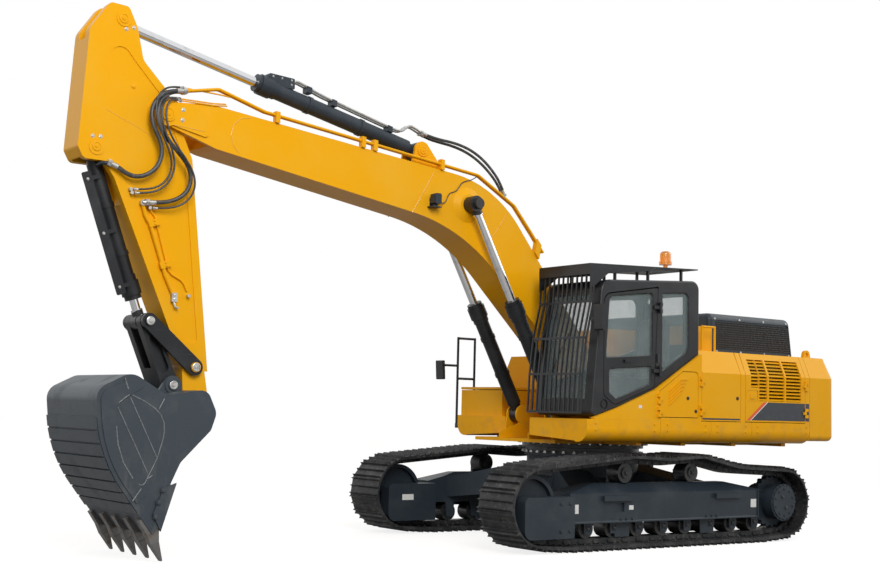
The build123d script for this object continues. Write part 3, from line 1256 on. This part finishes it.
def arm():
    """The stick: a box with recessed side plates, narrowing to the bucket, with its bosses and pins."""
    with BuildPart() as beam:
        corners = [(x, z) for x, z, r in ARM_OUTLINE]
        rounded(corners, [r for x, z, r in ARM_OUTLINE], -ARM_HALF, ARM_HALF)
        link([BUCKET_PIN, GUIDE_PIN], [ARM_TIP_RADIUS, GUIDE_BOSS_RADIUS], -ARM_HALF, ARM_HALF)
        bar(ARM_PIN, 200, -ARM_HALF, ARM_HALF)
        for side in (1, -1):
            panel = sorted((side * (ARM_HALF - ARM_RECESS), side * (ARM_HALF + 5)))
            rounded(ARM_PANEL, ARM_PANEL_RADII, *panel, Mode.SUBTRACT)
            for pin, radius in ((ARM_PIN, 200), (BUCKET_CYLINDER_FOOT, 120)):
                bar(pin, radius, *sorted((side * 100, side * ARM_HALF)))
        bar(ARM_ROD_PIN, 430, -EYE_WIDTH / 2 - SIDE_GAP, EYE_WIDTH / 2 + SIDE_GAP, Mode.SUBTRACT)
        slot = BUCKET_BARREL_RADIUS + 30
        low = ahead(BUCKET_CYLINDER_FOOT, LINK_PIN, 500)
        link([BUCKET_CYLINDER_FOOT, low], [170, 150], -slot, slot, Mode.SUBTRACT)
        bar(BUCKET_CYLINDER_FOOT, LINK_PIN_RADIUS, -ARM_HALF - 12, ARM_HALF + 12)
        bar(ARM_PIN, ARM_PIN_RADIUS + PIN_GAP, -ARM_HALF - 5, ARM_HALF + 5, Mode.SUBTRACT)
        reach = ARM_HALF + SIDE_GAP + EAR_THICKNESS + 25
        bar(GUIDE_PIN, LINK_PIN_RADIUS, -reach, reach)
        bar(BUCKET_PIN, LINK_PIN_RADIUS, -reach, reach)
        eye = EYE_WIDTH / 2 + SIDE_GAP
        for side in (1, -1):
            bar(ARM_ROD_PIN, LINK_PIN_RADIUS + 5, *sorted((side * eye, side * (ARM_HALF + 12))))
            for pin in (ARM_ROD_PIN, BUCKET_CYLINDER_FOOT):
                bar(pin, 82, *sorted((side * (ARM_HALF - 5), side * (ARM_HALF + 8))))
    return beam.part


def guide_links():
    """The pair of links from the arm to the link pin, each with its half of that pin."""
    inner = ARM_HALF + SIDE_GAP
    with BuildPart() as links:
        for side in (1, -1):
            span = sorted((side * inner, side * (inner + EAR_THICKNESS)))
            link([GUIDE_PIN, LINK_PIN], [85, 80], *span)
            bar(GUIDE_PIN, LINK_PIN_RADIUS + PIN_GAP, span[0] - 5, span[1] + 5, Mode.SUBTRACT)
            reach = sorted((side * (EYE_WIDTH / 2 + 2 * SIDE_GAP), side * (inner + EAR_THICKNESS + 20)))
            bar(LINK_PIN, LINK_PIN_RADIUS, *reach)
    return links.part


def power_link():
    """The forked link that pushes the bucket."""
    with BuildPart() as fork:
        outer = ARM_HALF - 5
        with_eye = EYE_WIDTH / 2 + SIDE_GAP + 4
        link([LINK_PIN, BUCKET_LINK_PIN], [82, 90], -outer, outer)
        low = ahead(BUCKET_LINK_PIN, LINK_PIN, 330)
        link([LINK_PIN, low], [140, 140], -with_eye, with_eye, Mode.SUBTRACT)
        for side in (1, -1):
            waist = sorted((side * (outer - 40), side * (outer + 5)))
            link([ahead(LINK_PIN, BUCKET_LINK_PIN, 190), ahead(BUCKET_LINK_PIN, LINK_PIN, 190)], [45, 50], *waist, Mode.SUBTRACT)
        bar(LINK_PIN, LINK_PIN_RADIUS + PIN_GAP, -outer - 5, outer + 5, Mode.SUBTRACT)
    return fork.part


# Bucket, as corners (x, z, radius): its side plate, its inside and the wear plate on its side
BUCKET_OUTLINE = [
    (6390, 1817, 180),
    (6019, 1603, 40),
    (5590, 1672, 110),
    (5478, 1440, 120),
    (5535, 1270, 60),
    (5850, 955, 150),
    (5940, 760, 1),
    (6050, 330, 1),
    (6110, 270, 1),
    (6678, 1008, 1330),
    (6745, 1640, 150),
]
BUCKET_HOLLOW = [
    (5380, 1100, 1),
    (5650, 1430, 50),
    (5990, 1550, 60),
    (6391, 1781, 148),
    (6711, 1621, 118),
    (6647, 1020, 1298),
    (6010, 193, 1),
    (5650, 300, 1),
]
SIDE_WEAR = [
    (6250, 1690, 20),
    (6380, 1765, 100),
    (6700, 1610, 120),
    (6640, 1022, 1290),
    (6290, 570, 1),
    (6200, 650, 1),
    (6500, 1060, 1180),
    (6550, 1500, 160),
]
WEAR_THICKNESS = 10
SIDE_CUTTER = [(5889, 759), (6035, 300), (6120, 470), (6020, 715)]
CUTTER_THICKNESS = 22
WRAPPER_CENTRE = (5395, 1522)
WRAPPER_RADIUS = 1330
WRAPPER_LEAN = 52.4
STRIP_WIDTH = 112
STRIP_PITCH = 130
STRIP_THICKNESS = 16
ADAPTER = [(6226, 420), (6250, 402), (6166, 278), (6116, 171), (6034, 209), (6040, 330), (6110, 290)]
ADAPTER_RADII = [1, 1, 40, 1, 1, 1, 1]
TOOTH_BASE = (6075, 190)
TOOTH_TIP = (5992, 16)
TOOTH_THICKNESS = 80


def wear_strips():
    """The middles of the strips (x, z, lean): six round the wrapper's curve, two on its flat."""
    x, z = WRAPPER_CENTRE
    step = STRIP_PITCH / WRAPPER_RADIUS
    strips = []
    for i in range(6):
        a = radians(WRAPPER_LEAN - 90) + (i + 0.2) * step
        strips.append((x + WRAPPER_RADIUS * cos(a), z + WRAPPER_RADIUS * sin(a), 90 + a * 180 / pi))
    lean = radians(WRAPPER_LEAN)
    for i in (1, 2):
        down = (i - 0.2) * STRIP_PITCH
        x_foot = x + WRAPPER_RADIUS * sin(lean) - down * cos(lean)
        strips.append((x_foot, z - WRAPPER_RADIUS * cos(lean) - down * sin(lean), WRAPPER_LEAN))
    return strips


def tooth_plane(y, distance):
    """A plane across a tooth, a distance from its base towards its tip."""
    x, z = ahead(TOOTH_BASE, TOOTH_TIP, distance)
    run = (TOOTH_TIP[0] - TOOTH_BASE[0], TOOTH_TIP[1] - TOOTH_BASE[1])
    return Plane(origin=(x, y, z), x_dir=(run[1], 0, -run[0]), z_dir=(run[0], 0, run[1]))


# What is cut away between the bucket's ears, so that the power link can fold down there
LINK_ROOM = [(5300, 1440), (5500, 1440), (5650, 1475), (5980, 1620), (6019, 1640), (6019, 1850), (5300, 1850)]


def bucket():
    """The shell between two side plates, with wear strips round its back, cutters, and ears."""
    inner = ARM_HALF + SIDE_GAP
    with BuildPart() as shell:
        rounded(*corners_of(BUCKET_OUTLINE), -BUCKET_HALF, BUCKET_HALF)
        rounded(*corners_of(BUCKET_HOLLOW), -BUCKET_HALF + BUCKET_PLATE, BUCKET_HALF - BUCKET_PLATE, Mode.SUBTRACT)
        for x, z, lean in wear_strips():
            with BuildSketch(side_plane(BUCKET_HALF - 12)) as strip:
                with Locations(Location((x, z), lean)):
                    Rectangle(STRIP_WIDTH, 2 * STRIP_THICKNESS)
            extrude(strip.sketch, amount=2 * BUCKET_HALF - 24)
        for side in (1, -1):
            face = sorted((side * (BUCKET_HALF - 5), side * (BUCKET_HALF + CUTTER_THICKNESS)))
            plate(SIDE_CUTTER, *face)
            wear = sorted((side * (BUCKET_HALF - 5), side * (BUCKET_HALF + WEAR_THICKNESS)))
            rounded(*corners_of(SIDE_WEAR), *wear)
            ear = sorted((side * inner, side * (inner + EAR_THICKNESS)))
            link([BUCKET_PIN, (5620, 1450)], [150, 60], *ear)
            link([BUCKET_LINK_PIN, (5800, 1600)], [95, 130], *ear)
            link([BUCKET_PIN, (5720, 1560)], [120, 60], *ear)
            for pin in (BUCKET_PIN, BUCKET_LINK_PIN):
                bar(pin, 85, *sorted((side * inner, side * (inner + EAR_THICKNESS + 12))))
            bar(BUCKET_PIN, LINK_PIN_RADIUS + PIN_GAP, ear[0] - 40, ear[1] + 40, Mode.SUBTRACT)
            bar(BUCKET_LINK_PIN, LINK_PIN_RADIUS, *sorted((side * inner, side * (inner + EAR_THICKNESS + 25))))
        swing = (BUCKET_PIN[0] + 600 * cos(radians(72)), BUCKET_PIN[1] + 600 * sin(radians(72)))
        link([BUCKET_PIN, swing], [ARM_TIP_RADIUS + 20, ARM_TIP_RADIUS + 10], -inner, inner, Mode.SUBTRACT)
        plate(LINK_ROOM, -inner, inner, Mode.SUBTRACT)
    return shell.part


def bucket_teeth():
    """Five teeth on their adapters, which wrap the lip and run back under the bucket."""
    with BuildPart() as teeth:
        for i in range(TOOTH_COUNT):
            y = -TOOTH_SPAN / 2 + i * TOOTH_SPAN / (TOOTH_COUNT - 1)
            rounded(ADAPTER, ADAPTER_RADII, y - TOOTH_WIDTH / 2, y + TOOTH_WIDTH / 2)
            with BuildSketch(tooth_plane(y, 0)):
                Rectangle(TOOTH_THICKNESS, TOOTH_WIDTH + 20)
            with BuildSketch(tooth_plane(y, hypot(TOOTH_TIP[0] - TOOTH_BASE[0], TOOTH_TIP[1] - TOOTH_BASE[1]))):
                Rectangle(14, TOOTH_WIDTH - 25)
            loft()
        rounded(*corners_of(BUCKET_OUTLINE), -BUCKET_HALF, BUCKET_HALF, Mode.SUBTRACT)
    return teeth.part


PIECES = {
    "car_body": car_body,
    "side_frames": side_frames,
    "track_rollers": track_rollers,
    "idlers": idlers,
    "final_drives": final_drives,
    "slew_ring_lower": slew_ring_lower,
    "slew_ring_upper": slew_ring_upper,
    "upper_frame": upper_frame,
    "skirts": skirts,
    "counterweight": counterweight,
    "engine_block": engine_block,
    "house_shell": house_shell,
    "tanks": tanks,
    "side_door_front": side_door_front,
    "side_door_rear": side_door_rear,
    "pump_door": pump_door,
    "louvre_door": louvre_door,
    "engine_hood": engine_hood,
    "toolbox": toolbox,
    "toolbox_lid": toolbox_lid,
    "cab_shell": cab_shell,
    "cab_glass": cab_glass,
    "cab_door": cab_door,
    "cab_door_glass": cab_door_glass,
    "cab_guard": cab_guard,
    "seat": seat,
    "cab_controls": cab_controls,
    "beacon": beacon,
    "mirrors_and_rails": mirrors_and_rails,
    "boom": boom,
    "boom_pipes": boom_pipes,
    "work_lamp": work_lamp,
    "boom_cylinder_barrels": boom_cylinder_barrels,
    "boom_cylinder_rods": boom_cylinder_rods,
    "arm": arm,
    "arm_cylinder_barrel": arm_cylinder_barrel,
    "arm_cylinder_rod": arm_cylinder_rod,
    "bucket_cylinder_barrel": bucket_cylinder_barrel,
    "bucket_cylinder_rod": bucket_cylinder_rod,
    "guide_links": guide_links,
    "power_link": power_link,
    "bucket": bucket,
    "bucket_teeth": bucket_teeth,
}

for piece_name, make_piece in PIECES.items():
    save(piece_name, make_piece())
save("track_left", track(1))
save("track_right", track(-1))
